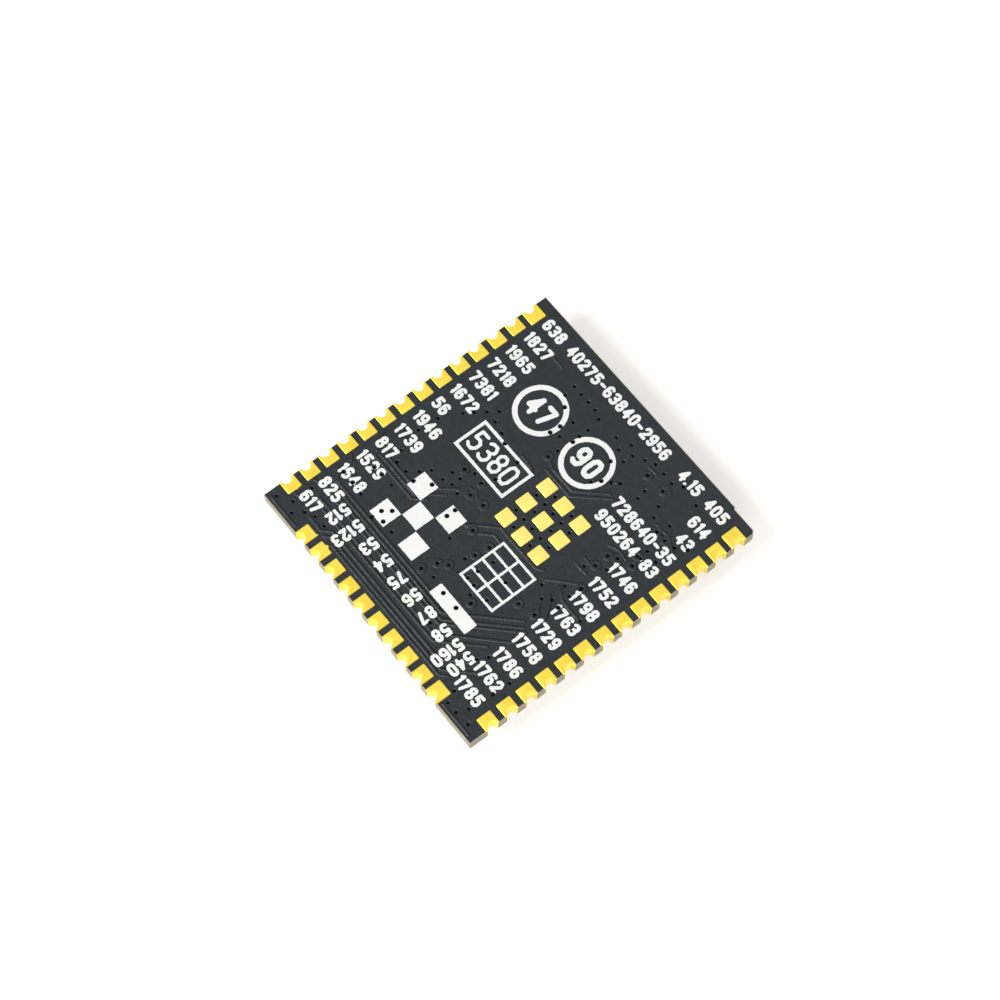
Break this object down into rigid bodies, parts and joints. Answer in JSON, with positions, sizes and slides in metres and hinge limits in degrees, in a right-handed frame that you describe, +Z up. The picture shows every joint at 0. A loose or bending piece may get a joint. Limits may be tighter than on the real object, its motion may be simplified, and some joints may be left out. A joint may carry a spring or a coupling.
{
  "type": "wifi module",
  "caption": "Castellated circuit board module: gold edge and ground pads on one side, a shield can and antenna socket on the other, soldered flat onto a carrier board.",
  "frame": {"origin": "centre of the shield can's flat outer face, on which the module rests with its solder pads up", "axes": "+X across the board from the second side column to the first, +Y along the board from the end pad row to the bare edge, +Z up out of the pad side"},
  "size_m": [0.018, 0.0192, 0.0032],
  "materials": {
    "glass_epoxy": "matte",
    "solder_mask": "satin",
    "pad_gold": "satin",
    "plated_copper": "satin",
    "legend_ink": "matte",
    "nickel_silver": "satin",
    "solder": "satin",
    "socket_moulding": "satin",
    "socket_gold": "gloss",
    "chip_moulding": "matte",
    "tinned_copper": "satin",
    "crystal_ceramic": "matte",
    "crystal_lid": "satin",
    "capacitor_ceramic": "satin",
    "resistor_glaze": "satin",
    "inductor_ferrite": "matte"
  },
  "bodies": {
    "root": {"board_core": "glass_epoxy", "pad_side_mask": "solder_mask", "part_side_mask": "solder_mask", "right_pads": "pad_gold", "left_pads": "pad_gold", "end_pads": "pad_gold", "ground_pads": "pad_gold", "thermal_vias": "plated_copper", "legend_ink": "legend_ink", "can_land": "pad_gold", "part_lands": "pad_gold", "shield_can": "nickel_silver", "can_solder": "solder", "socket_base": "socket_moulding", "socket_shell": "socket_gold", "socket_contact": "socket_gold", "radio_chip": "chip_moulding", "radio_chip_leads": "tinned_copper", "memory_chip": "chip_moulding", "memory_chip_leads": "tinned_copper", "crystal_base": "crystal_ceramic", "crystal_lid": "crystal_lid", "capacitor_bodies": "capacitor_ceramic", "capacitor_ends": "tinned_copper", "resistor_bodies": "resistor_glaze", "resistor_ends": "tinned_copper", "inductor_bodies": "inductor_ferrite", "inductor_ends": "tinned_copper", "part_solder": "solder"}
  },
  "joints": []
}
